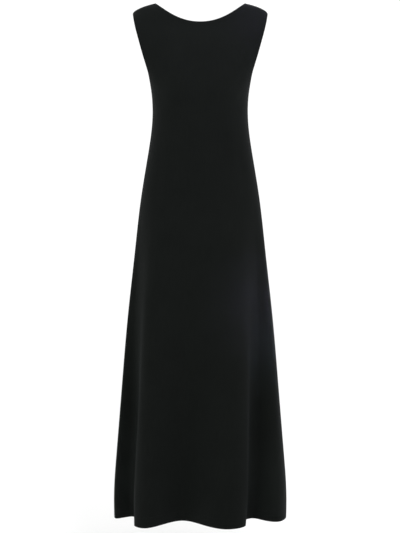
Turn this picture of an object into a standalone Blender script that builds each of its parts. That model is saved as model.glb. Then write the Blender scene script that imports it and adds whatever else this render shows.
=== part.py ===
"""A sleeveless A-line maxi dress, open and hollow, as it hangs from its wearer's shoulders.

A front and a back panel make it, each cut in one from the shoulders to the hem. They meet at the
side seams and at the short shoulder seams, which all lie in the plane y = 0.

Frame: metres, +Z up, and the front faces -Y. The origin is midway between the neck ends of the two
shoulder seams, so every height is a drop below the shoulders.
"""

import math

import bpy
import numpy as np

# Heights, as drops below the neck ends of the shoulder seams.
SHOULDER_TIP = -0.029
UNDERARM = -0.237
FOLDS_START = -0.500
HEM = -1.420

# The cloth and its seams.
CLOTH = 0.002
SEAM_GAP = 0.0005

# The neck and the shoulders.
NECK_HALF = 0.125
TIP_HALF = 0.1855
SHOULDER_ROUND = 1.8
NECK_CURVE = 2.1

# The bust: two soft rises in the front panel.
BUST_RISE = 0.006
BUST_APART = 0.075
BUST_HEIGHT = -0.245
BUST_SPREAD = (0.048, 0.075)

# How fast the skirt's folds open towards the hem: above 1 they stay shallow at the hips.
FOLD_OPENING = 1.35

# How many sections up each panel, and columns across it. Along its seams each panel has one more
# column or row that is narrow, so its wall ends square to the seam.
SKIRT_ROWS = 14
TORSO_ROWS = 7
BODICE_ROWS = 9
COLUMNS = 42
SEAM_COLUMN = 0.006
SEAM_ROW = 0.005

# A share of the panel's half width. Columns inside it end at the neckline, others at the shoulder.
NECK_SHARE = 0.64

# How far in from the armhole its curve bends the columns, how far the row that meets the underarms
# dips between them and how far in it has done so, and how a fold's turning draws the columns in.
ARMHOLE_PULL = 2.5
UNDERARM_DIP = 0.050
DIP_REACH = 4
TURN_WEIGHT = 0.030

# How many points measure the length of a section and of the shoulder seam.
ARC_STEPS = 200

# The body of the dress, one row for each section from the shoulders down.
# height: drop. side: half width, at the side seam or the armhole's edge. front, back: depths at the
# centre. square: 2 is an ellipse, and more is flatter in front and rounder at the sides.
SECTION_COLUMNS = ("height", "side", "front", "back", "square")
SECTIONS = (
    (0.000, 0.125, 0.030, 0.030, 2.30),
    (-0.012, 0.163, 0.043, 0.043, 2.30),
    (-0.029, 0.1855, 0.056, 0.058, 2.30),
    (-0.063, 0.1792, 0.067, 0.074, 2.30),
    (-0.100, 0.170, 0.083, 0.087, 2.35),
    (-0.150, 0.1553, 0.101, 0.095, 2.40),
    (-0.200, 0.141, 0.115, 0.098, 2.40),
    (-0.237, 0.1347, 0.120, 0.097, 2.35),
    (-0.290, 0.1305, 0.118, 0.091, 2.30),
    (-0.350, 0.1335, 0.113, 0.086, 2.25),
    (-0.420, 0.1437, 0.110, 0.088, 2.20),
    (-0.540, 0.163, 0.113, 0.101, 2.15),
    (-0.680, 0.1792, 0.116, 0.110, 2.10),
    (-0.860, 0.199, 0.114, 0.116, 2.05),
    (-1.050, 0.2155, 0.110, 0.122, 2.00),
    (-1.250, 0.2317, 0.106, 0.127, 2.00),
    (-1.360, 0.2382, 0.103, 0.129, 2.00),
    (-1.420, 0.2375, 0.102, 0.130, 2.00),
)

# The hem seen from above, one row for each place, from side seam to side seam.
HEM_COLUMNS = ("place", "x", "y")
FRONT_HEM = (
    ("left side seam", -0.238, 0.024),
    ("left side crest", -0.232, -0.003),
    ("left side hollow", -0.192, 0.020),
    ("left fold, tucked side", -0.163, -0.024),
    ("left fold, outer side", -0.175, -0.092),
    ("left fold, crest", -0.154, -0.115),
    ("left fold, inner side", -0.107, -0.082),
    ("centre hollow", -0.047, -0.029),
    ("right fold, inner side", 0.008, -0.080),
    ("right fold, crest", 0.081, -0.127),
    ("right fold, outer side", 0.121, -0.088),
    ("right fold, tucked side", 0.119, -0.032),
    ("right side hollow", 0.144, -0.001),
    ("right side fold, slope", 0.174, -0.025),
    ("right side fold, crest", 0.208, -0.043),
    ("right side seam", 0.2355, 0.000),
)
BACK_HEM = (
    ("right side seam", 0.2355, 0.000),
    ("right side, behind", 0.236, 0.040),
    ("right back fold, crest", 0.200, 0.094),
    ("right back hollow", 0.142, 0.066),
    ("right centre fold, slope", 0.104, 0.112),
    ("right centre fold, crest", 0.064, 0.150),
    ("back hollow", -0.004, 0.096),
    ("left centre fold, slope", -0.052, 0.130),
    ("left centre fold, crest", -0.092, 0.162),
    ("left back hollow", -0.148, 0.078),
    ("left back fold, crest", -0.205, 0.092),
    ("left side, behind", -0.233, 0.054),
    ("left side seam", -0.238, 0.024),
)

BLACK_CLOTH = (0.011, 0.012, 0.0115, 1.0)
CLOTH_ROUGHNESS = 0.85


class Panel:
    """What differs between the front and the back: which way is out, and the panel's own sizes."""

    def __init__(self, name, facing, depth, armhole, neck_drop, hem, bust):
        self.name = name
        self.facing = facing
        self.depth = depth
        self.armhole = armhole
        self.neck_drop = neck_drop
        self.hem = hem
        self.bust = bust


FRONT = Panel("front", -1, "front", 0.058, 0.063, FRONT_HEM, BUST_RISE)
BACK = Panel("back", 1, "back", 0.054, 0.045, BACK_HEM, 0.0)


def column(table, names, wanted):
    """One named column of a table, as an array."""
    return np.array([row[names.index(wanted)] for row in table], float)


def spline(knots, values, at):
    """A natural cubic spline through the values at rising knots."""
    gaps, rises = np.diff(knots), np.diff(values)
    system = np.eye(len(knots))
    inside = np.arange(1, len(knots) - 1)
    system[inside, inside - 1] = gaps[:-1]
    system[inside, inside] = 2 * (gaps[:-1] + gaps[1:])
    system[inside, inside + 1] = gaps[1:]
    bends = np.zeros(len(knots))
    bends[1:-1] = 6 * np.diff(rises / gaps)
    bends = np.linalg.solve(system, bends)
    span = np.clip(np.searchsorted(knots, at) - 1, 0, len(knots) - 2)
    gap = gaps[span]
    after = (at - knots[span]) / gap
    before = 1 - after
    straight = before * values[span] + after * values[span + 1]
    low, high = (before**3 - before) * bends[span], (after**3 - after) * bends[span + 1]
    return straight + (low + high) * gap**2 / 6


def section(wanted, height):
    """A section's size at any height, smooth between the table's rows."""
    rows = SECTIONS[::-1]
    return spline(column(rows, SECTION_COLUMNS, "height"), column(rows, SECTION_COLUMNS, wanted), height)


def side(height):
    """Half width at the side seam, the armhole's edge or, above the shoulder's tip, its seam."""
    rows = [row for row in SECTIONS[::-1] if row[0] <= SHOULDER_TIP]
    below = spline(column(rows, SECTION_COLUMNS, "height"), column(rows, SECTION_COLUMNS, "side"), height)
    left = np.clip(1 - height / SHOULDER_TIP, 0, 1)
    shoulder = TIP_HALF - (TIP_HALF - NECK_HALF) * left**SHOULDER_ROUND
    return np.where(height > SHOULDER_TIP, shoulder, below)


def armhole_depth(height, panel):
    """How far the armhole's edge lies from the side's plane: half an ellipse, underarm to tip."""
    middle, half = (UNDERARM + SHOULDER_TIP) / 2, (SHOULDER_TIP - UNDERARM) / 2
    along = np.clip((height - middle) / half, -1, 1)
    return panel.armhole * np.sqrt(1 - along**2)


def full_half_width(height, panel):
    """Half width that the section would have if no armhole were cut from it."""
    square = section("square", height)
    cut = (armhole_depth(height, panel) / section(panel.depth, height)) ** square
    return side(height) / (1 - cut) ** (1 / square)


def bust(x, height, panel):
    """The rise of the two cups at a place on the front."""
    across = (np.abs(x) - BUST_APART) / BUST_SPREAD[0]
    along = (height - BUST_HEIGHT) / BUST_SPREAD[1]
    return panel.bust * np.exp(-(across**2) - along**2)


def around(turn, height, panel):
    """(x, y) of the body at a height and an angle: 0 is the middle, a right angle the side's plane."""
    square = section("square", height)
    sine, cosine = np.abs(np.sin(turn)), np.abs(np.cos(turn))
    reach = (sine**square + cosine**square) ** (-1 / square)
    x = np.sign(turn) * full_half_width(height, panel) * sine * reach
    deep = cosine * reach
    depth = section(panel.depth, height) * deep + bust(x, height, panel) * deep**square
    return x, panel.facing * depth


def turn_at(x, height, panel):
    """The angle at which the section at a height has an x, if x is not below 0."""
    square = section("square", height)
    wide = np.clip(x / full_half_width(height, panel), 0, 1)
    return np.arctan2(wide, (1 - wide**square) ** (1 / square))


def ring(share, height, panel):
    """(x, y) round the body at a height. share runs from -1 to 1, from left side seam to right."""
    return around(share * math.pi / 2, height, panel)


def read_off(wanted, at, values):
    """Column by column, the values at the wanted places of a rising scale, straight between rows."""
    row = np.clip((at[None] <= wanted[:, None]).sum(1) - 1, 0, len(at) - 2)
    column_index = np.arange(at.shape[1])[None]
    start, end = at[row, column_index], at[row + 1, column_index]
    part = (wanted - start) / (end - start)
    return values[row, column_index] * (1 - part) + values[row + 1, column_index] * part


def closed_hem():
    """The whole hem as close points on one smooth closed curve, and where its side seams lie."""
    rows = FRONT_HEM[:-1] + BACK_HEM[:-1]
    points = np.stack([column(rows, HEM_COLUMNS, "x"), column(rows, HEM_COLUMNS, "y")], 1)
    lap = 4
    points = np.concatenate([points[-lap:], points, points[: lap + 1]])
    along = np.concatenate([[0], np.cumsum(np.linalg.norm(np.diff(points, axis=0), axis=1))])
    seams = along[[lap, lap + len(FRONT_HEM) - 1, lap + len(rows)]]
    return along, points, seams


def hem_curve(panel, count=1200):
    """(share, x, y) along the panel's hem, with share measured evenly by its length."""
    along, points, seams = closed_hem()
    start, end = (seams[0], seams[1]) if panel is FRONT else (seams[2], seams[1])
    at = np.linspace(start, end, count)
    x, y = spline(along, points[:, 0], at), spline(along, points[:, 1], at)
    length = np.concatenate([[0], np.cumsum(np.hypot(np.diff(x), np.diff(y)))])
    return 2 * length / length[-1] - 1, x, y


def skirt(share, height, panel):
    """(x, y) at a height under the armholes: the body's ring, opened into the hem's folds."""
    x, y = ring(share, height, panel)
    hem_share, hem_x, hem_y = hem_curve(panel)
    plain_x, plain_y = ring(share, np.full_like(share, HEM), panel)
    opened = np.clip((FOLDS_START - height) / (FOLDS_START - HEM), 0, 1) ** FOLD_OPENING
    x = x + opened * (np.interp(share, hem_share, hem_x) - plain_x)
    y = y + opened * (np.interp(share, hem_share, hem_y) - plain_y)
    return x, y


def neckline(x, panel):
    """Height of the neckline at x: a curve that is nearly a parabola."""
    return -panel.neck_drop * (1 - (np.abs(x) / NECK_HALF) ** NECK_CURVE)


def top_edge(size, panel):
    """(angle, height) of the right half's top edge: the neckline, then the shoulder seam to its tip."""
    neck_x = NECK_HALF * np.sin(math.pi / 2 * np.clip(size / NECK_SHARE, 0, 1))
    neck_height = neckline(neck_x, panel)
    heights = np.linspace(0, SHOULDER_TIP, ARC_STEPS)
    length = np.concatenate([[0], np.cumsum(np.hypot(np.diff(side(heights)), np.diff(heights)))])
    along = np.clip((size - NECK_SHARE) / (1 - NECK_SHARE), 0, 1) * length[-1]
    on_neck = size <= NECK_SHARE
    turn = np.where(on_neck, turn_at(neck_x, neck_height, panel), math.pi / 2)
    return turn, np.where(on_neck, neck_height, np.interp(along, length, heights))


def underarm_row(share):
    """Heights of the row that ends at the underarms: it dips between them, clear of the armholes."""
    return UNDERARM - UNDERARM_DIP * (1 - np.abs(share) ** DIP_REACH)


def bodice(share, rise, panel):
    """Points above the underarm row. rise runs from 0 there to 1 at the top edge.

    They are laid out as in the flat panel, by the section's length from its middle and by height:
    straight from the row to the edge, with the columns near the sides pulled to the armholes.
    """
    size = np.abs(share)
    turns = np.linspace(0, math.pi / 2, ARC_STEPS)[:, None] + 0 * size

    def arc(height):
        x, y = around(turns, height[None], panel)
        steps = np.hypot(np.diff(x, axis=0, prepend=x[:1]), np.diff(y, axis=0, prepend=y[:1]))
        return np.cumsum(steps, axis=0)

    def flat(turn, height):
        return np.stack([read_off(turn[None], turns, arc(height))[0], height], 1)

    def side_place(height):
        level = np.full_like(size, height)
        return flat(turn_at(side(level), level, panel), level)

    def between(low, top):
        return low + (top - low) * rise

    low = flat(size * math.pi / 2, underarm_row(size))
    top = flat(*top_edge(size, panel))
    edge_height = UNDERARM + (SHOULDER_TIP - UNDERARM) * (1 - math.cos(math.pi * rise)) / 2
    straight = between(side_place(UNDERARM), side_place(SHOULDER_TIP))
    pull = size[:, None] ** ARMHOLE_PULL
    length, height = (between(low, top) + pull * (side_place(edge_height) - straight)).T
    turn = np.sign(share) * read_off(length[None], arc(height), turns)[0]
    return np.stack([*around(turn, height, panel), height], 1)


def column_shares(panel):
    """Where the columns stand: closer together where the hem turns, and on the neck's two ends."""
    share, x, y = hem_curve(panel)
    heading = np.unwrap(np.arctan2(np.gradient(y), np.gradient(x)))
    weight = np.hypot(np.gradient(x), np.gradient(y)) + TURN_WEIGHT * np.abs(np.gradient(heading))
    along = np.cumsum(weight) - weight[0]
    shares = np.interp(np.linspace(0, along[-1], COLUMNS), along, share)
    for end in (-NECK_SHARE, NECK_SHARE):
        shares[np.argmin(np.abs(shares - end))] = end
    return np.sort(np.concatenate([shares, [SEAM_COLUMN - 1, 1 - SEAM_COLUMN]]))


def panel_rows(panel):
    """The panel's sections from the hem to the top edge, each a row of points."""
    shares = column_shares(panel)
    waist = np.full_like(shares, FOLDS_START)
    heights = np.concatenate(
        [
            np.linspace(np.full_like(shares, HEM), waist, SKIRT_ROWS, endpoint=False),
            np.linspace(waist, underarm_row(shares), TORSO_ROWS, endpoint=False),
        ]
    )
    rows = [np.stack([*skirt(shares, height, panel), height], 1) for height in heights]
    for rise in np.sort(np.append(np.linspace(0, 1, BODICE_ROWS), 1 - SEAM_ROW)):
        rows.append(bodice(shares, rise, panel))
    return np.array(rows), shares


def draw_back(edge, inner):
    """Moves a sewn edge half the seam's gap over the cloth, square to the edge, towards a row inside."""
    along = np.gradient(edge, axis=0)
    along = along / np.linalg.norm(along, axis=1, keepdims=True)
    inward = inner - edge
    inward = inward - (inward * along).sum(1, keepdims=True) * along
    return edge + inward / np.linalg.norm(inward, axis=1, keepdims=True) * SEAM_GAP / 2


def part_at_seams(rows, shares):
    """Moves the panel's sewn edges back from the seams: its sides to the underarm, its shoulders."""
    sewn = SKIRT_ROWS + TORSO_ROWS + 1
    rows[:sewn, 0] = draw_back(rows[:sewn, 0], rows[:sewn, 1])
    rows[:sewn, -1] = draw_back(rows[:sewn, -1], rows[:sewn, -2])
    for left_or_right in (-1, 1):
        shoulder = left_or_right * shares > NECK_SHARE - 1e-9
        rows[-1, shoulder] = draw_back(rows[-1, shoulder], rows[-2, shoulder])
    return rows


def cloth_material(name):
    material = bpy.data.materials.new(name)
    material.use_nodes = True
    shader = material.node_tree.nodes["Principled BSDF"]
    shader.inputs["Base Color"].default_value = BLACK_CLOTH
    shader.inputs["Roughness"].default_value = CLOTH_ROUGHNESS
    shader.inputs["Metallic"].default_value = 0.0
    return material


def build_panel(panel):
    """The panel as a sheet of quads through its sections, thickened to the cloth's wall."""
    rows = part_at_seams(*panel_rows(panel))
    count, across = rows.shape[:2]
    corner = np.arange((count - 1) * across).reshape(count - 1, across)[:, :-1].ravel()
    quads = np.stack([corner, corner + 1, corner + across + 1, corner + across], 1)
    if panel.facing > 0:
        quads = quads[:, ::-1]
    mesh = bpy.data.meshes.new(panel.name)
    mesh.from_pydata(rows.reshape(-1, 3).tolist(), [], quads.tolist())
    mesh.materials.append(cloth_material(panel.name + " cloth"))
    mesh.shade_smooth()
    panel_object = bpy.data.objects.new(panel.name, mesh)
    bpy.context.scene.collection.objects.link(panel_object)
    wall = panel_object.modifiers.new("wall", "SOLIDIFY")
    wall.thickness = CLOTH
    wall.offset = 0
    wall.use_even_offset = True
    return panel_object


def main():
    for old in list(bpy.data.objects):
        bpy.data.objects.remove(old)
    for panel in (FRONT, BACK):
        build_panel(panel)


main()
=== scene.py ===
"""A black sleeveless A-line maxi dress, filled out as it is worn, in a plain studio.

Frame, as in the solids: metres, +Z up, the front faces -Y. The origin is midway between the neck
ends of the shoulder seams, so heights are drops below the shoulders, and the side and shoulder
seams stand near the plane y = 0.

Each panel is one sheet of jersey. Its edges turn in over a small round fold and lie flat against
the panel's wrong side, as a hem, a neckline and seam allowances do.
"""

import math

import bpy
import numpy as np
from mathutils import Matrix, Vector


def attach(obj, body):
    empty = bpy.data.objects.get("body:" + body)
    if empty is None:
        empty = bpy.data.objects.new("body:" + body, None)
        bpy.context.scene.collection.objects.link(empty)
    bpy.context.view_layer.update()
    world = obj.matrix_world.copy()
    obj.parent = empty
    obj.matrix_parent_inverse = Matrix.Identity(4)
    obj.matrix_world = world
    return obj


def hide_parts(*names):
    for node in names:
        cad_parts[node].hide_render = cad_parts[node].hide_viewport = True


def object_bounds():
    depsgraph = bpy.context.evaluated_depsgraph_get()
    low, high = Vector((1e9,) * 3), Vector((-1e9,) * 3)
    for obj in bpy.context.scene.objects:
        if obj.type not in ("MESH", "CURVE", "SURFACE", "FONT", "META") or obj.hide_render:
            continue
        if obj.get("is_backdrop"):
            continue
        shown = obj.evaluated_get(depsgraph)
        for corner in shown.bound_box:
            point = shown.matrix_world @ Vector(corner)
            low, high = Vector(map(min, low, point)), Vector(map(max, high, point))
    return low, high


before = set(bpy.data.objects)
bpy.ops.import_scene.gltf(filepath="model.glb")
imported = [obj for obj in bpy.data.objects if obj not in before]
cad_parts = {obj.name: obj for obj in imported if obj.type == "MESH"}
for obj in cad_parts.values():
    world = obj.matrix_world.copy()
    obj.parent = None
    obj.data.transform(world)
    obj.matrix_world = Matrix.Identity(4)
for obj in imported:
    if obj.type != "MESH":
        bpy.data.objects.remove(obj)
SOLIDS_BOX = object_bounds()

# Heights, as drops below the neck ends of the shoulder seams.
SHOULDER_TIP = -0.029
UNDERARM = -0.237
FOLDS_START = -0.500
HEM = -1.420

# The neck and the shoulders.
NECK_HALF = 0.125
TIP_HALF = 0.1855
SHOULDER_ROUND = 1.8
NECK_CURVE = 2.1

# The bust: two soft rises in the front panel.
BUST_APART = 0.075
BUST_HEIGHT = -0.245
BUST_SPREAD = (0.048, 0.075)

# How fast the skirt's folds open towards the hem.
FOLD_OPENING = 1.35

# A share of the panel's half width. Columns inside it end at the neckline, others at the shoulder.
NECK_SHARE = 0.64
ARMHOLE_PULL = 2.5
UNDERARM_DIP = 0.050
DIP_REACH = 4
TURN_WEIGHT = 0.030

# How many points measure the length of a section and of the shoulder seam.
ARC_STEPS = 200

# The grid of each panel.
SKIRT_ROWS = 110
TORSO_ROWS = 44
BODICE_ROWS = 52
COLUMNS = 128

# The cloth: its thickness, how far its middle lies outside the panel's own surface, how far a
# turned-in layer lies inside it, and the round of the fold between them.
CLOTH = 0.0010
OUTER_LAYER = 0.00045
INNER_LAYER = -0.00075
FOLD_ROUND = (OUTER_LAYER - INNER_LAYER) / 2
SEAM_SLIT = 0.00008
FOLD_STEPS = 5

# Rows of points close to the hem, above its fold.
HEM_ROWS = (0.0, 0.0012, 0.004, 0.008, 0.013, 0.018, 0.0225, 0.0245, 0.0265, 0.0285, 0.032)

# Widths of what is turned in.
HEM_TURN = 0.028
NECK_TURN = 0.009
SIDE_TURN = 0.009

# How far in from each edge its stitching runs: the hem, the top edge and the two sides.
STITCHING = ((0.0235, 0.0265), (0.0065,), (0.0065,), (0.0065,))

# One stitch: its length, the gap to the next, the thread's radius, how many sides it has, and where
# its rings stand, as shares of half its length from its middle.
STITCH = 0.0026
STITCH_GAP = 0.0008
THREAD = 0.00022
STITCH_SIDES = 6
STITCH_RINGS = np.array([-0.75, 0.0, 0.75])

# How many rows of points from an edge its stitching can lie in, and how far the edge's own points
# may have been drawn in from it.
STITCHED_ROWS = 24
EDGE_SLACK = 0.001

# How many points a step of an edge is split into, to measure the distance from it.
CLOSE_POINTS = 4

# What each panel was cut to, turned edges and allowances too: width, length and flat area.
CUTS = {"front": (0.86, 1.47, 0.79), "back": (0.76, 1.47, 0.75)}

# The cloth's colours and its shine.
CLOTH_DARK = (0.0030, 0.0038, 0.0034)
CLOTH_LIGHT = (0.0054, 0.0065, 0.0059)
CLOTH_SPECULAR = 0.05
CLOTH_SHEEN = 0.012
SHEEN_COLOUR = (0.86, 0.93, 1.0, 1.0)

# The cloth's grain. Each is a scale, where more is finer. Pebbles and slubs have a second number, which
# draws them out lengthwise the more it is below 1. RELIEF is how high the grain stands.
CLOUDS = 14.0
PEBBLES = (900.0, 0.55)
SLUBS = (220.0, 0.12)
RIBS = 260.0
RELIEF = 0.0003
THREAD_FIBRES = 4000.0

# The studio: how bright its surroundings are, how high its floor lies and how far that reaches, and its
# camera. CAMERA_FOCUS is the focal length in pixels, of a picture that is FRAME_LONG pixels high.
WORLD_STRENGTH = 1.06
FLOOR = -1.580
FLOOR_REACH = 30.0
CAMERA_PLACE = (-0.0006, -3.0, -0.7248)
CAMERA_FOCUS = 1085.8
FRAME_LONG = 533
SENSOR = 36

# Its lamps, as (name, place, aim, size, spread in degrees, power, colour). A lamp with a narrow spread
# lights a soft patch where it aims.
LAMPS = (
    ("front", (-0.98, -2.10, -1.37), (0.0, 0.0, -0.75), (0.9, 1.2), 180, 23.7, (0.95, 1.0, 0.89)),
    ("neck", (0.30, -0.90, 0.45), (0.05, 0.0, -0.05), (0.4, 0.3), 180, 9.8, (0.91, 0.86, 1.0)),
    ("right", (0.50, -0.42, -0.78), (0.15, 0.0, -0.82), (0.10, 0.10), 180, 0.68, (1.0, 0.91, 0.89)),
    ("shoulder", (0.60, -1.00, 0.10), (0.16, -0.03, -0.05), (0.10, 0.10), 14, 0.061, (0.55, 0.40, 1.0)),
    ("thigh", (0.65, -1.15, -0.70), (0.16, -0.05, -0.83), (0.05, 0.05), 16, 0.137, (0.70, 0.57, 1.0)),
    ("knee", (0.75, -0.60, -0.95), (0.18, -0.01, -0.95), (0.05, 0.15), 14, 0.053, (0.53, 0.68, 1.0)),
    ("left hem", (-0.80, -0.90, -1.35), (-0.22, 0.0, -1.32), (0.10, 0.20), 16, 0.062, (0.94, 0.96, 1.0)),
    ("right hem", (0.55, -1.00, -1.35), (0.19, 0.0, -1.32), (0.10, 0.20), 14, 0.043, (0.97, 1.0, 0.97)),
)

# The body of the dress, one row for each section from the shoulders down.
# height: drop. side: half width, at the side seam or the armhole's edge. front, back: depths at the
# centre. square: 2 is an ellipse, and more is flatter in front and rounder at the sides.
SECTION_COLUMNS = ("height", "side", "front", "back", "square")
SECTIONS = (
    (0.000, 0.125, 0.030, 0.030, 2.30),
    (-0.012, 0.163, 0.043, 0.043, 2.30),
    (-0.029, 0.1855, 0.056, 0.058, 2.30),
    (-0.063, 0.1792, 0.067, 0.074, 2.30),
    (-0.100, 0.170, 0.083, 0.087, 2.35),
    (-0.150, 0.1553, 0.101, 0.095, 2.40),
    (-0.200, 0.141, 0.115, 0.098, 2.40),
    (-0.237, 0.1347, 0.120, 0.097, 2.35),
    (-0.290, 0.1305, 0.118, 0.091, 2.30),
    (-0.350, 0.1335, 0.113, 0.086, 2.25),
    (-0.420, 0.1437, 0.110, 0.088, 2.20),
    (-0.540, 0.163, 0.113, 0.101, 2.15),
    (-0.680, 0.1792, 0.116, 0.110, 2.10),
    (-0.860, 0.199, 0.114, 0.116, 2.05),
    (-1.050, 0.2155, 0.110, 0.122, 2.00),
    (-1.250, 0.2317, 0.106, 0.127, 2.00),
    (-1.360, 0.2382, 0.103, 0.129, 2.00),
    (-1.420, 0.2375, 0.102, 0.130, 2.00),
)

# The hem seen from above, one row for each place, from side seam to side seam.
HEM_COLUMNS = ("place", "x", "y")
FRONT_HEM = (
    ("left side seam", -0.238, 0.024),
    ("left side crest", -0.232, -0.003),
    ("left side hollow", -0.192, 0.020),
    ("left fold, tucked side", -0.163, -0.024),
    ("left fold, outer side", -0.175, -0.092),
    ("left fold, crest", -0.154, -0.115),
    ("left fold, inner side", -0.107, -0.082),
    ("centre hollow", -0.047, -0.029),
    ("right fold, inner side", 0.008, -0.080),
    ("right fold, crest", 0.081, -0.127),
    ("right fold, outer side", 0.121, -0.088),
    ("right fold, tucked side", 0.119, -0.032),
    ("right side hollow", 0.144, -0.001),
    ("right side fold, slope", 0.174, -0.025),
    ("right side fold, crest", 0.208, -0.043),
    ("right side seam", 0.2355, 0.000),
)
BACK_HEM = (
    ("right side seam", 0.2355, 0.000),
    ("right side, behind", 0.236, 0.040),
    ("right back fold, crest", 0.200, 0.094),
    ("right back hollow", 0.142, 0.066),
    ("right centre fold, slope", 0.104, 0.112),
    ("right centre fold, crest", 0.064, 0.150),
    ("back hollow", -0.004, 0.096),
    ("left centre fold, slope", -0.052, 0.130),
    ("left centre fold, crest", -0.092, 0.162),
    ("left back hollow", -0.148, 0.078),
    ("left back fold, crest", -0.205, 0.092),
    ("left side, behind", -0.233, 0.054),
    ("left side seam", -0.238, 0.024),
)

# Soft creases: a line from top to foot in front view, half width, and depth. A depth below 0 is a
# trough and above 0 a ridge. The taper is how sharply they fade out at both ends.
CREASE_TAPER = 1.5
CREASE_COLUMNS = ("top x", "top z", "foot x", "foot z", "bow", "half width", "depth")
FRONT_CREASES = (
    (-0.126, -0.215, -0.070, -0.262, 0.004, 0.009, -0.0022),
    (-0.124, -0.232, -0.080, -0.300, 0.005, 0.011, -0.0017),
    (0.125, -0.212, 0.064, -0.255, -0.004, 0.008, -0.0019),
    (0.126, -0.236, 0.088, -0.312, -0.004, 0.012, -0.0018),
    (-0.060, -0.300, -0.074, -0.520, 0.004, 0.013, -0.0020),
    (0.052, -0.310, 0.070, -0.480, -0.003, 0.012, -0.0017),
    (-0.008, -0.330, -0.030, -0.610, 0.006, 0.016, -0.0020),
    (0.098, -0.330, 0.124, -0.560, 0.004, 0.012, -0.0017),
    (-0.100, -0.345, -0.130, -0.640, -0.004, 0.014, -0.0019),
    (0.020, -0.560, 0.030, -0.900, 0.005, 0.018, 0.0020),
    (-0.090, -0.620, -0.110, -1.020, 0.006, 0.016, -0.0018),
    (0.090, -0.090, 0.112, -0.190, 0.006, 0.012, -0.0014),
    (-0.096, -0.080, -0.116, -0.186, -0.006, 0.012, -0.0015),
)
BACK_CREASES = (
    (-0.124, -0.222, -0.084, -0.280, 0.004, 0.010, -0.0024),
    (0.125, -0.226, 0.078, -0.272, -0.004, 0.010, -0.0021),
    (-0.030, -0.290, -0.046, -0.500, 0.004, 0.014, -0.0027),
    (0.036, -0.300, 0.050, -0.540, -0.004, 0.013, -0.0024),
    (0.084, -0.310, 0.110, -0.560, 0.004, 0.012, -0.0023),
    (-0.090, -0.330, -0.112, -0.590, -0.003, 0.013, -0.0021),
    (-0.058, -0.345, 0.040, -0.362, -0.010, 0.010, -0.0019),
    (0.070, -0.372, -0.020, -0.392, 0.008, 0.009, -0.0015),
    (0.000, -0.600, 0.004, -0.960, 0.006, 0.018, 0.0022),
)


class Panel:
    """What differs between the front and the back."""

    def __init__(self, name, facing, depth, armhole, neck_drop, hem, bust, creases):
        self.name = name
        self.facing = facing
        self.depth = depth
        self.armhole = armhole
        self.neck_drop = neck_drop
        self.hem = hem
        self.bust = bust
        self.creases = creases


FRONT = Panel("front", -1, "front", 0.058, 0.063, FRONT_HEM, 0.006, FRONT_CREASES)
BACK = Panel("back", 1, "back", 0.054, 0.045, BACK_HEM, 0.0, BACK_CREASES)


# ---- The panels' own surface ----


def column(table, names, wanted):
    """One named column of a table, as an array."""
    return np.array([row[names.index(wanted)] for row in table], float)


def spline(knots, values, at):
    """A natural cubic spline through the values at rising knots."""
    gaps, rises = np.diff(knots), np.diff(values)
    system = np.eye(len(knots))
    inside = np.arange(1, len(knots) - 1)
    system[inside, inside - 1] = gaps[:-1]
    system[inside, inside] = 2 * (gaps[:-1] + gaps[1:])
    system[inside, inside + 1] = gaps[1:]
    bends = np.zeros(len(knots))
    bends[1:-1] = 6 * np.diff(rises / gaps)
    bends = np.linalg.solve(system, bends)
    span = np.clip(np.searchsorted(knots, at) - 1, 0, len(knots) - 2)
    gap = gaps[span]
    after = (at - knots[span]) / gap
    before = 1 - after
    straight = before * values[span] + after * values[span + 1]
    low, high = (before**3 - before) * bends[span], (after**3 - after) * bends[span + 1]
    return straight + (low + high) * gap**2 / 6


def section(wanted, height):
    """A section's size at any height, smooth between the table's rows."""
    rows = SECTIONS[::-1]
    return spline(column(rows, SECTION_COLUMNS, "height"), column(rows, SECTION_COLUMNS, wanted), height)


def side(height):
    """Half width at the side seam, the armhole's edge or, above the shoulder's tip, its seam."""
    rows = [row for row in SECTIONS[::-1] if row[0] <= SHOULDER_TIP]
    below = spline(column(rows, SECTION_COLUMNS, "height"), column(rows, SECTION_COLUMNS, "side"), height)
    left = np.clip(1 - height / SHOULDER_TIP, 0, 1)
    shoulder = TIP_HALF - (TIP_HALF - NECK_HALF) * left**SHOULDER_ROUND
    return np.where(height > SHOULDER_TIP, shoulder, below)


def armhole_depth(height, panel):
    """How far the armhole's edge lies from the side's plane: half an ellipse, underarm to tip."""
    middle, half = (UNDERARM + SHOULDER_TIP) / 2, (SHOULDER_TIP - UNDERARM) / 2
    along = np.clip((height - middle) / half, -1, 1)
    return panel.armhole * np.sqrt(1 - along**2)


def full_half_width(height, panel):
    """Half width that the section would have if no armhole were cut from it."""
    square = section("square", height)
    cut = (armhole_depth(height, panel) / section(panel.depth, height)) ** square
    return side(height) / (1 - cut) ** (1 / square)


def bust(x, height, panel):
    """The rise of the two cups: a bell over the distance from each cup's middle."""
    across = (np.abs(x) - BUST_APART) / BUST_SPREAD[0]
    along = (height - BUST_HEIGHT) / BUST_SPREAD[1]
    return panel.bust * np.exp(-(across**2) - along**2)


def around(turn, height, panel):
    """(x, y) of the body at a height and an angle: 0 is the middle, a right angle the side's plane."""
    square = section("square", height)
    sine, cosine = np.abs(np.sin(turn)), np.abs(np.cos(turn))
    reach = (sine**square + cosine**square) ** (-1 / square)
    x = np.sign(turn) * full_half_width(height, panel) * sine * reach
    deep = cosine * reach
    depth = section(panel.depth, height) * deep + bust(x, height, panel) * deep**square
    return x, panel.facing * depth


def turn_at(x, height, panel):
    """The angle at which the section at a height has an x, if x is not below 0."""
    square = section("square", height)
    wide = np.clip(x / full_half_width(height, panel), 0, 1)
    return np.arctan2(wide, (1 - wide**square) ** (1 / square))


def ring(share, height, panel):
    """(x, y) round the body at a height. share runs from -1 to 1, from left side seam to right."""
    return around(share * math.pi / 2, height, panel)


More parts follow.
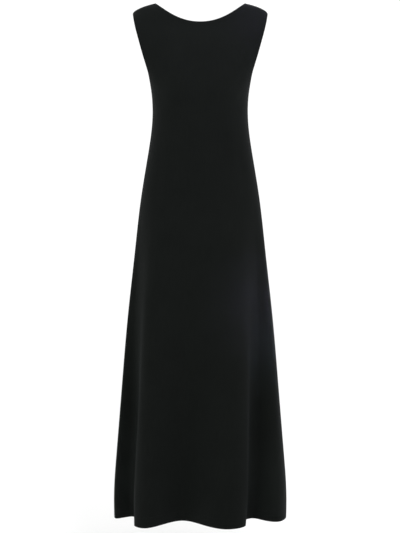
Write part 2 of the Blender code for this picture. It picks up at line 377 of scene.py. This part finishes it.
def read_off(wanted, at, values):
    """Column by column, the values at the wanted places of a rising scale, straight between rows."""
    row = np.clip((at[None] <= wanted[:, None]).sum(1) - 1, 0, len(at) - 2)
    column_index = np.arange(at.shape[1])[None]
    start, end = at[row, column_index], at[row + 1, column_index]
    part = (wanted - start) / (end - start)
    part = part.reshape(part.shape + (1,) * (values.ndim - 2))
    return values[row, column_index] * (1 - part) + values[row + 1, column_index] * part


def closed_hem():
    """The whole hem as close points on one smooth closed curve, and where its side seams lie."""
    rows = FRONT_HEM[:-1] + BACK_HEM[:-1]
    points = np.stack([column(rows, HEM_COLUMNS, "x"), column(rows, HEM_COLUMNS, "y")], 1)
    lap = 4
    points = np.concatenate([points[-lap:], points, points[: lap + 1]])
    along = np.concatenate([[0], np.cumsum(np.linalg.norm(np.diff(points, axis=0), axis=1))])
    seams = along[[lap, lap + len(FRONT_HEM) - 1, lap + len(rows)]]
    return along, points, seams


def hem_curve(panel, count=3000):
    """(share, x, y) along the panel's hem, with share measured evenly by its length."""
    along, points, seams = closed_hem()
    start, end = (seams[0], seams[1]) if panel is FRONT else (seams[2], seams[1])
    at = np.linspace(start, end, count)
    x, y = spline(along, points[:, 0], at), spline(along, points[:, 1], at)
    length = np.concatenate([[0], np.cumsum(np.hypot(np.diff(x), np.diff(y)))])
    return 2 * length / length[-1] - 1, x, y


def skirt(share, height, panel):
    """(x, y) at a height under the armholes: the body's ring, opened into the hem's folds."""
    x, y = ring(share, height, panel)
    hem_share, hem_x, hem_y = hem_curve(panel)
    plain_x, plain_y = ring(share, np.full_like(share, HEM), panel)
    opened = np.clip((FOLDS_START - height) / (FOLDS_START - HEM), 0, 1) ** FOLD_OPENING
    x = x + opened * (np.interp(share, hem_share, hem_x) - plain_x)
    y = y + opened * (np.interp(share, hem_share, hem_y) - plain_y)
    return x, y


def neckline(x, panel):
    """Height of the neckline at x: a curve that is nearly a parabola."""
    return -panel.neck_drop * (1 - (np.abs(x) / NECK_HALF) ** NECK_CURVE)


def top_edge(size, panel):
    """(angle, height) of the right half's top edge: the neckline, then the shoulder seam to its tip."""
    neck_x = NECK_HALF * np.sin(math.pi / 2 * np.clip(size / NECK_SHARE, 0, 1))
    neck_height = neckline(neck_x, panel)
    heights = np.linspace(0, SHOULDER_TIP, ARC_STEPS)
    length = np.concatenate([[0], np.cumsum(np.hypot(np.diff(side(heights)), np.diff(heights)))])
    along = np.clip((size - NECK_SHARE) / (1 - NECK_SHARE), 0, 1) * length[-1]
    on_neck = size <= NECK_SHARE
    turn = np.where(on_neck, turn_at(neck_x, neck_height, panel), math.pi / 2)
    return turn, np.where(on_neck, neck_height, np.interp(along, length, heights))


def underarm_row(share):
    """Heights of the row that ends at the underarms: it dips between them, clear of the armholes."""
    return UNDERARM - UNDERARM_DIP * (1 - np.abs(share) ** DIP_REACH)


def bodice(share, rise, panel):
    """Points above the underarm row, and how far round from the panel's middle each one lies.

    rise runs from 0 at that row to 1 at the top edge.

    They are laid out as in the flat panel, by the section's length from its middle and by height:
    straight from the row to the edge, with the columns near the sides pulled to the armholes.
    """
    size = np.abs(share)
    turns = np.linspace(0, math.pi / 2, ARC_STEPS)[:, None] + 0 * size

    def arc(height):
        x, y = around(turns, height[None], panel)
        steps = np.hypot(np.diff(x, axis=0, prepend=x[:1]), np.diff(y, axis=0, prepend=y[:1]))
        return np.cumsum(steps, axis=0)

    def flat(turn, height):
        return np.stack([read_off(turn[None], turns, arc(height))[0], height], 1)

    def side_place(height):
        level = np.full_like(size, height)
        return flat(turn_at(side(level), level, panel), level)

    def between(low, top):
        return low + (top - low) * rise

    low = flat(size * math.pi / 2, underarm_row(size))
    top = flat(*top_edge(size, panel))
    edge_height = UNDERARM + (SHOULDER_TIP - UNDERARM) * (1 - math.cos(math.pi * rise)) / 2
    straight = between(side_place(UNDERARM), side_place(SHOULDER_TIP))
    pull = size[:, None] ** ARMHOLE_PULL
    length, height = (between(low, top) + pull * (side_place(edge_height) - straight)).T
    turn = np.sign(share) * read_off(length[None], arc(height), turns)[0]
    return np.stack([*around(turn, height, panel), height], 1), np.sign(share) * length


def column_shares(panel):
    """Where the columns stand: closer together where the hem turns, and on the neck's two ends."""
    share, x, y = hem_curve(panel)
    heading = np.unwrap(np.arctan2(np.gradient(y), np.gradient(x)))
    weight = np.hypot(np.gradient(x), np.gradient(y)) + TURN_WEIGHT * np.abs(np.gradient(heading))
    along = np.cumsum(weight) - weight[0]
    shares = np.interp(np.linspace(0, along[-1], COLUMNS), along, share)
    for end in (-NECK_SHARE, NECK_SHARE):
        shares[np.argmin(np.abs(shares - end))] = end
    return shares


def creased(points, panel):
    """How far the creases move the surface out.

    Each is a bell across its bowed line: e to the power of minus the square of the distance over the
    half width. Along the line it is tapered by a sine to the power of CREASE_TAPER.
    """
    x, z = points[..., 0], points[..., 2]
    move = np.zeros_like(x)
    for top_x, top_z, foot_x, foot_z, bow, half, depth in panel.creases:
        line = np.array([foot_x - top_x, foot_z - top_z])
        length = np.hypot(*line)
        line = line / length
        along = ((x - top_x) * line[0] + (z - top_z) * line[1]) / length
        inside = np.clip(along, 0, 1)
        across = (x - top_x) * line[1] - (z - top_z) * line[0] - bow * np.sin(math.pi * inside)
        taper = np.sin(math.pi * inside) ** CREASE_TAPER
        move += depth * taper * np.exp(-((across / half) ** 2))
    return move


def length_round(row, shares):
    """How far each point of a row lies round from the panel's middle, measured level."""
    walked = np.concatenate([[0], np.cumsum(np.hypot(*np.diff(row[:, :2], axis=0).T))])
    return walked - np.interp(0, shares, walked)


def panel_surface(panel):
    """Rows of points from the hem to the top edge, creased, and how far round each point lies."""
    shares = column_shares(panel)
    waist = np.full_like(shares, FOLDS_START)
    close_rows = HEM + np.array(HEM_ROWS)[:, None] + 0 * shares
    heights = np.concatenate(
        [
            close_rows,
            np.linspace(close_rows[-1], waist, SKIRT_ROWS, endpoint=False)[1:],
            np.linspace(waist, underarm_row(shares), TORSO_ROWS, endpoint=False),
        ]
    )
    rows = [np.stack([*skirt(shares, height, panel), height], 1) for height in heights]
    lengths = [length_round(row, shares) for row in rows]
    for rise in np.linspace(0, 1, BODICE_ROWS):
        row, length = bodice(shares, rise, panel)
        rows.append(row)
        lengths.append(length)
    points = np.array(rows)
    return points + creased(points, panel)[..., None] * outward(points, panel), np.array(lengths)


def unit(vectors):
    """Vectors at length 1."""
    return vectors / np.maximum(np.linalg.norm(vectors, axis=-1, keepdims=True), 1e-12)


def outward(points, panel):
    """Unit normals of a grid of points, out of the dress: the cross product of its two ways."""
    return unit(np.cross(np.gradient(points, axis=1), np.gradient(points, axis=0))) * -panel.facing


# ---- The turned-in edges ----


def hem_first(grid):
    """A grid of rows that go up the panel, whose first row is the hem."""
    return grid


def top_first(grid):
    """The same grid from its top edge down."""
    return grid[::-1]


def left_first(grid):
    """The same grid from its left side inwards: its columns have become the rows."""
    return np.swapaxes(grid, 0, 1)


def right_first(grid):
    """The same grid from its right side inwards."""
    return np.swapaxes(grid[:, ::-1], 0, 1)


# The most that a column's lean counts, where it runs along its edge rather than away from it, and
# the largest share of a grid's first step that its edge is drawn in by.
MOST_LEAN = 2.5
MOST_DRAWN = 0.6

# Each edge that turns in: how the grid is turned to it, how wide it is, in how many steps its flat
# part runs, at which point the flat part starts, and whether its quads come out the other way round.
ABOVE_HEM = len(HEM_ROWS) - 1
EDGES = (
    (hem_first, HEM_TURN, 9, 0, True),
    (top_first, NECK_TURN, 5, 0, False),
    (left_first, SIDE_TURN, 5, ABOVE_HEM, False),
    (right_first, SIDE_TURN, 5, ABOVE_HEM, True),
)


def edge_frame(points, normals):
    """For a grid whose first row is an edge: the way out, square to it, and its columns' lean.

    The lean is how far a column has to be followed to come one unit in from the edge.
    """
    out = unit(np.cross(np.gradient(points[0], axis=0), normals[0]))
    along = (out * unit(points[1] - points[0])).sum(-1)
    return -np.sign(along)[:, None] * out, 1 / np.maximum(np.abs(along), 1 / MOST_LEAN)


def draw_in(points, normals, by):
    """Moves a grid's four edges in by a distance, along its rows and columns."""
    points = points.copy()
    for turn, *_ in EDGES:
        grid = turn(points)
        _, lean = edge_frame(grid, turn(normals))
        way = grid[1] - grid[0]
        share = by * lean / np.linalg.norm(way, axis=-1)
        grid[0] += way * np.minimum(share, MOST_DRAWN)[:, None]
    return points


def inset(values, points, widths, steps):
    """Values of a grid at even steps in from its first row, along its columns.

    The distance in is measured along each column, and widths gives the whole of it by column.
    """
    along = np.cumsum(np.linalg.norm(np.diff(points, axis=0, prepend=points[:1]), axis=-1), axis=0)
    wanted = np.linspace(0, 1, steps + 1)[1:, None] * widths
    return read_off(wanted, along, values)


def turned_edge(points, normals, widths, steps):
    """The rows of a turned-in edge, past a grid's first row: round the fold, and flat on the inside.

    The round is half a circle from the outer layer's edge to the inner layer's.
    """
    out, lean = edge_frame(points, normals)
    turns = np.linspace(0, math.pi, FOLD_STEPS + 1)[1:, None, None]
    middle = points[0] + (OUTER_LAYER - FOLD_ROUND) * normals[0]
    rounded = middle + FOLD_ROUND * (np.sin(turns) * out + np.cos(turns) * normals[0])
    flat = inset(points, points, widths * lean, steps)
    flat = flat + INNER_LAYER * unit(inset(normals, points, widths * lean, steps))
    return rounded, flat


def from_ends(points):
    """Distance of each point of a line to the nearer of its two ends."""
    along = np.concatenate([[0], np.cumsum(np.linalg.norm(np.diff(points, axis=0), axis=1))])
    return np.minimum(along, along[-1] - along)


class Cloth:
    """Gathers a sheet's points, flat places and quads from grids that share their edges."""

    def __init__(self, panel):
        self.panel = panel
        self.points = []
        self.cut = []
        self.quads = []
        self.count = 0

    def add(self, points, cut):
        """Adds a grid of points and returns their numbers."""
        numbers = self.count + np.arange(points[..., 0].size).reshape(points.shape[:-1])
        self.points.append(points.reshape(-1, 3))
        self.cut.append(cut.reshape(-1, 2))
        self.count += numbers.size
        return numbers

    def join(self, grid, flipped=False):
        """Adds the quads of a grid of numbers. Rows go up and columns to the right, if not flipped."""
        quads = np.stack([grid[:-1, :-1], grid[:-1, 1:], grid[1:, 1:], grid[1:, :-1]], -1)
        quads = quads.reshape(-1, 4)
        self.quads.append(quads[:, ::-1] if flipped != (self.panel.facing > 0) else quads)

    def mesh(self, name):
        """The whole sheet as one mesh, with its flat places as a UV map."""
        mesh = bpy.data.meshes.new(name)
        mesh.from_pydata(np.concatenate(self.points).tolist(), [], np.concatenate(self.quads).tolist())
        cut = np.concatenate(self.cut)
        loops = np.zeros(len(mesh.loops), int)
        mesh.loops.foreach_get("vertex_index", loops)
        layer = mesh.uv_layers.new(name="cut")
        layer.data.foreach_set("uv", cut[loops].ravel())
        mesh.shade_smooth()
        return mesh


def flat_cut(points, across):
    """Where each point of a grid lay in the flat cloth: across from the middle, and up from the hem.

    Up follows a point's height: it is the way that the middle column has come when it is as high,
    and goes on by the height above that column's end.
    """
    middle = points[:, points.shape[1] // 2]
    walked = np.concatenate([[0], np.cumsum(np.linalg.norm(np.diff(middle, axis=0), axis=1))])
    height = points[..., 2]
    up = np.interp(height, middle[:, 2], walked) + np.maximum(height - middle[-1, 2], 0)
    return np.stack([across, up], -1)


def past_edge(cut, start, rows):
    """Flat places of rows past a grid's first row: they go on by the distance walked from it."""
    walked = np.cumsum(np.linalg.norm(np.diff(rows, axis=0, prepend=start[None]), axis=-1), axis=0)
    return cut[0] + walked[..., None] * unit(cut[0] - cut[1])


def build_cloth(panel):
    """The panel with its edges turned in, as one sheet, and its surface's points and normals."""
    surface, across = panel_surface(panel)
    normals = outward(surface, panel)
    points = draw_in(surface, normals, FOLD_ROUND + SEAM_SLIT)
    outer = points + OUTER_LAYER * normals
    cut = flat_cut(points, across)
    cloth = Cloth(panel)
    numbers = cloth.add(outer, cut)
    cloth.join(numbers)
    for turn, width, steps, start, flipped in EDGES:
        grid = turn(points)
        widths = np.full(grid.shape[1], width)
        if turn is not hem_first:
            widths = np.clip(from_ends(grid[0]), FOLD_ROUND, width)
        rounded, flat = turned_edge(grid, turn(normals), widths, steps)
        edge_cut = past_edge(turn(cut), turn(outer)[0], np.concatenate([rounded, flat]))
        round_numbers = cloth.add(rounded, edge_cut[:FOLD_STEPS])
        flat_numbers = cloth.add(flat[:, start:], edge_cut[FOLD_STEPS:, start:])
        cloth.join(np.concatenate([turn(numbers)[:1], round_numbers]), flipped)
        cloth.join(np.concatenate([round_numbers[-1:, start:], flat_numbers]), flipped)
    return cloth, points, normals


def make_panel(panel):
    """The panel as a piece of cloth, and its surface's points and normals."""
    cloth, points, normals = build_cloth(panel)
    piece = bpy.data.objects.new(panel.name + "_panel", cloth.mesh(panel.name + "_panel"))
    bpy.context.scene.collection.objects.link(piece)
    wall = piece.modifiers.new("cloth", "SOLIDIFY")
    wall.thickness = CLOTH
    wall.offset = 0
    return piece, points, normals


# ---- The stitching ----


def along_row(row, at):
    """Points between a row's own, at places counted in its steps."""
    return np.stack([np.interp(at, np.arange(len(row)), row[:, axis]) for axis in range(3)], 1)


def stitch_faces():
    """Quads and triangles of one stitch: the bands between its three rings, and a fan at each pole."""
    first = np.arange(STITCH_SIDES)
    second = (first + 1) % STITCH_SIDES
    last_ring = 2 * STITCH_SIDES
    pole = np.full(STITCH_SIDES, 3 * STITCH_SIDES)
    band = np.stack([first, second, second + STITCH_SIDES, first + STITCH_SIDES], 1)
    start = np.stack([second, first, pole], 1)
    end = np.stack([first + last_ring, second + last_ring, pole + 1], 1)
    return np.concatenate([band, band + STITCH_SIDES]), np.concatenate([start, end])


def stitches(path, normals):
    """Points, quads and triangles of a row of stitches: small ellipsoids, half sunk in the cloth.

    Each has a pole, three rings and a pole. Their middles are evenly spaced, and lie on the arc
    between two points of the path that the normals there ask for.
    """
    length = np.concatenate([[0], np.cumsum(np.linalg.norm(np.diff(path, axis=0), axis=1))])
    count = int(length[-1] / (STITCH + STITCH_GAP))
    middles = (np.arange(count) + 0.5) * length[-1] / count
    ends = middles + STITCH / 2 * np.array([[-1.0], [1.0]])
    step, first_end, last_end = (np.interp(at, length, np.arange(len(path))) for at in (middles, *ends))
    normal = unit(along_row(normals, step))
    bulge = (np.diff(path, axis=0) * np.diff(normals, axis=0)).sum(1) / 2
    after = step % 1
    middle = along_row(path, step) + (after * (1 - after) * bulge[step.astype(int)])[:, None] * normal
    along = unit(along_row(path, last_end) - along_row(path, first_end))
    beside = np.cross(along, normal)
    turn = np.arange(STITCH_SIDES) * 2 * math.pi / STITCH_SIDES
    radius = THREAD * np.sqrt(1 - STITCH_RINGS**2)[:, None]
    rings = (
        middle[:, None, None]
        + along[:, None, None] * (STITCH_RINGS * STITCH / 2)[:, None, None]
        + normal[:, None, None] * (radius * np.cos(turn))[..., None]
        + beside[:, None, None] * (radius * np.sin(turn))[..., None]
    )
    poles = middle[:, None] + along[:, None] * np.array([[-STITCH / 2], [STITCH / 2]])
    points = np.concatenate([rings.reshape(count, -1, 3), poles], axis=1)
    numbers = np.arange(count)[:, None, None] * points.shape[1]
    quads, triangles = (numbers + faces for faces in stitch_faces())
    return points.reshape(-1, 3), quads.reshape(-1, 4), triangles.reshape(-1, 3)


def from_line(points, line):
    """Distance of each point of a grid from a line: the least to any of its points, closely spaced."""
    close = along_row(line, np.linspace(0, len(line) - 1, CLOSE_POINTS * len(line)))
    return np.array([np.linalg.norm(row[:, None] - close, axis=-1).min(-1) for row in points])


def sewn_line(grid, normals, away, way_in):
    """(points, normals) of the line that lies a distance in from an edge, from seam to seam.

    away holds how far each point of the grid is from the edge. Where a column's first point is past
    the distance, the line has crossed the seam there, so it ends between that column and the last.
    """
    sewn = np.flatnonzero(away[0] < way_in)
    wanted = np.full((1, len(away[0])), way_in)
    line, line_normals = (read_off(wanted, away, values)[0][sewn] for values in (grid, normals))
    for last, step, place in ((sewn[0], -1, 0), (sewn[-1], 1, len(line))):
        if 0 <= last + step < len(away[0]):
            share = (way_in - away[0, last]) / (away[0, last + step] - away[0, last])
            crossing = [last + step * share]
            line = np.insert(line, place, along_row(grid[0], crossing), axis=0)
            line_normals = np.insert(line_normals, place, along_row(normals[0], crossing), axis=0)
    return line, unit(line_normals)


def stitching_paths(points, normals):
    """Where each row of stitches runs: two along the hem, one by the neckline, one by each armhole."""
    lift = OUTER_LAYER + CLOTH / 2
    for (turn, *_), ways_in in zip(EDGES, STITCHING):
        grid, grid_normals = turn(points)[:STITCHED_ROWS], turn(normals)[:STITCHED_ROWS]
        x, height = np.abs(grid[0, :, 0]), grid[0, :, 2]
        if turn is top_first:
            edge = grid[0, x < NECK_HALF + EDGE_SLACK]
        else:
            edge = grid[0, (height > UNDERARM - EDGE_SLACK) | (turn is hem_first)]
        away = from_line(grid, edge)
        for way_in in ways_in:
            line, line_normals = sewn_line(grid, grid_normals, away, way_in)
            yield line + lift * line_normals, line_normals


def make_stitching(panel, points, normals):
    """All the stitching of a panel, as one piece."""
    all_points, all_faces, count = [], [], 0
    for path, normal in stitching_paths(points, normals):
        row_points, quads, triangles = stitches(path, normal)
        all_points.append(row_points)
        all_faces += (quads + count).tolist() + (triangles + count).tolist()
        count += len(row_points)
    mesh = bpy.data.meshes.new(panel.name + "_stitching")
    mesh.from_pydata(np.concatenate(all_points).tolist(), [], all_faces)
    mesh.shade_smooth()
    piece = bpy.data.objects.new(panel.name + "_stitching", mesh)
    bpy.context.scene.collection.objects.link(piece)
    return piece


# ---- Finishes ----


class Wire:
    """A shader value that Python's own arithmetic works on: each operator adds its Math node."""

    def __init__(self, shop, socket):
        self.shop = shop
        self.socket = socket

    def math(self, operation, first, second):
        return self.shop.add("ShaderNodeMath", {"operation": operation}, {0: first, 1: second})

    def __add__(self, other):
        return self.math("ADD", self, other)

    __radd__ = __add__

    def __sub__(self, other):
        return self.math("SUBTRACT", self, other)

    def __rsub__(self, other):
        return self.math("SUBTRACT", other, self)

    def __mul__(self, other):
        return self.math("MULTIPLY", self, other)

    __rmul__ = __mul__


class Shop:
    """A material's node tree, with one method that adds any node."""

    def __init__(self, name):
        self.material = bpy.data.materials.new(name)
        self.material.use_nodes = True
        self.tree = self.material.node_tree
        self.shader = self.tree.nodes["Principled BSDF"]

    def add(self, kind, settings, inputs, output=0):
        """A node of a type with its settings, then the values or links of its sockets."""
        node = self.tree.nodes.new(kind)
        for key, value in settings.items():
            setattr(node, key, value)
        for key, value in inputs.items():
            self.plug(node.inputs[key], value)
        return Wire(self, node.outputs[output])

    def plug(self, socket, value):
        """Links a shader value to a socket, or sets the socket to a plain one."""
        if isinstance(value, Wire):
            self.tree.links.new(value.socket, socket)
        else:
            socket.default_value = value

    def noise(self, at, scale, detail=2.0):
        """Soft mottling."""
        return self.add("ShaderNodeTexNoise", {}, {"Vector": at, "Scale": scale, "Detail": detail})

    def drawn_out(self, at, scale, lengthwise):
        """Mottling that is drawn out along the cloth: a lengthwise share of 1 leaves it round."""
        stretch = {"Vector": at, "Scale": (1.0, lengthwise, 1.0)}
        return self.noise(self.add("ShaderNodeMapping", {}, stretch), scale)

    def tint(self, factor, dark, light):
        """A colour between two, by a factor."""
        inputs = {"Factor": factor, "A": (*dark, 1), "B": (*light, 1)}
        return self.add("ShaderNodeMix", {"data_type": "RGBA"}, inputs, "Result")


def crepe_jersey():
    """Matt black crepe jersey: a pebbled grain over fine ribs, with slubs and a faint bloom."""
    shop = Shop("black crepe jersey")
    cut = shop.add("ShaderNodeUVMap", {"uv_map": "cut"}, {})
    place = shop.add("ShaderNodeTexCoord", {}, {}, "Object")
    clouds = shop.noise(place, CLOUDS, 3.0)
    pebbles = shop.drawn_out(cut, *PEBBLES)
    slubs = shop.drawn_out(cut, *SLUBS)
    bands = {"wave_type": "BANDS", "bands_direction": "X", "wave_profile": "SIN"}
    ribs = shop.add("ShaderNodeTexWave", bands, {"Vector": cut, "Scale": RIBS, "Distortion": 0.4})
    height = 0.60 * pebbles + 0.25 * ribs + 0.15 * slubs
    bump = shop.add("ShaderNodeBump", {}, {"Strength": 0.8, "Distance": RELIEF, "Height": height})
    shade = 0.5 + 2.2 * (0.30 * clouds + 0.45 * pebbles + 0.25 * slubs - 0.5)
    shader = shop.shader.inputs
    shop.plug(shader["Base Color"], shop.tint(shade, CLOTH_DARK, CLOTH_LIGHT))
    shop.plug(shader["Roughness"], 0.78 + 0.12 * pebbles)
    shop.plug(shader["Normal"], bump)
    shop.plug(shader["Diffuse Roughness"], 1.0)
    shop.plug(shader["Specular IOR Level"], CLOTH_SPECULAR)
    shop.plug(shader["Sheen Weight"], CLOTH_SHEEN)
    shop.plug(shader["Sheen Roughness"], 0.45)
    shop.plug(shader["Sheen Tint"], SHEEN_COLOUR)
    return shop.material


def thread():
    """Black sewing thread, twisted, of the cloth's colour and hardly glossier."""
    shop = Shop("black thread")
    place = shop.add("ShaderNodeTexCoord", {}, {}, "Object")
    fibres = shop.noise(place, THREAD_FIBRES, 1.0)
    shader = shop.shader.inputs
    shop.plug(shader["Base Color"], shop.tint(fibres, CLOTH_DARK, CLOTH_LIGHT))
    shop.plug(shader["Roughness"], 0.6 + 0.15 * fibres)
    shop.plug(shader["Specular IOR Level"], 0.1)
    return shop.material


# ---- The studio ----


def surroundings():
    """Even white all round."""
    world = bpy.data.worlds.new("white studio")
    world.use_nodes = True
    sky = world.node_tree.nodes["Background"].inputs
    sky["Color"].default_value = (1, 1, 1, 1)
    sky["Strength"].default_value = WORLD_STRENGTH
    bpy.context.scene.world = world
    bpy.context.scene.view_settings.view_transform = "Standard"


def pale_floor():
    """One plain square, well under the hem."""
    mesh = bpy.data.meshes.new("floor")
    ways = ((-1, -1), (1, -1), (1, 1), (-1, 1))
    mesh.from_pydata([(x * FLOOR_REACH, y * FLOOR_REACH, FLOOR) for x, y in ways], [], [(0, 1, 2, 3)])
    floor = bpy.data.objects.new("floor", mesh)
    bpy.context.scene.collection.objects.link(floor)
    shop = Shop("pale floor")
    shop.plug(shop.shader.inputs["Base Color"], (0.97, 0.97, 0.97, 1))
    shop.plug(shop.shader.inputs["Roughness"], 0.9)
    shop.plug(shop.shader.inputs["Specular IOR Level"], 0.0)
    mesh.materials.append(shop.material)
    return floor


def area_light(name, place, aim, size, spread, power, colour):
    """A rectangular lamp, turned from its place towards its aim."""
    light = bpy.data.lights.new(name + " lamp", "AREA")
    light.shape = "RECTANGLE"
    light.size, light.size_y = size
    light.spread = math.radians(spread)
    light.energy = power
    light.color = colour
    lamp = bpy.data.objects.new(light.name, light)
    lamp.visible_camera = False
    lamp.location = place
    way = unit(np.array(aim) - np.array(place))
    lamp.rotation_euler = (math.acos(-way[2]), 0, math.atan2(way[1], way[0]) - math.pi / 2)
    bpy.context.scene.collection.objects.link(lamp)


def set_camera():
    """A camera level with the hips, that looks straight ahead."""
    camera = bpy.data.cameras.new("camera")
    camera.sensor_width = SENSOR
    camera.lens = camera.sensor_width * CAMERA_FOCUS / FRAME_LONG
    eye = bpy.data.objects.new("camera", camera)
    eye.location = CAMERA_PLACE
    eye.rotation_euler = (math.pi / 2, 0, 0)
    bpy.context.scene.collection.objects.link(eye)
    bpy.context.scene.camera = eye


def main():
    jersey, black_thread = crepe_jersey(), thread()
    for panel in (FRONT, BACK):
        piece, points, normals = make_panel(panel)
        piece.data.materials.append(jersey)
        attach(piece, "root")
        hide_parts(panel.name)
        sewing = make_stitching(panel, points, normals)
        sewing.data.materials.append(black_thread)
        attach(sewing, "root")
        width, length, area = CUTS[panel.name]
    surroundings()
    pale_floor()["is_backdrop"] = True
    for lamp in LAMPS:
        area_light(*lamp)
    set_camera()


main()

visual_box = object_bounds()
boxes = {"cad": SOLIDS_BOX, "visual": visual_box}
{name: [list(corner) for corner in box] for name, box in boxes.items()}
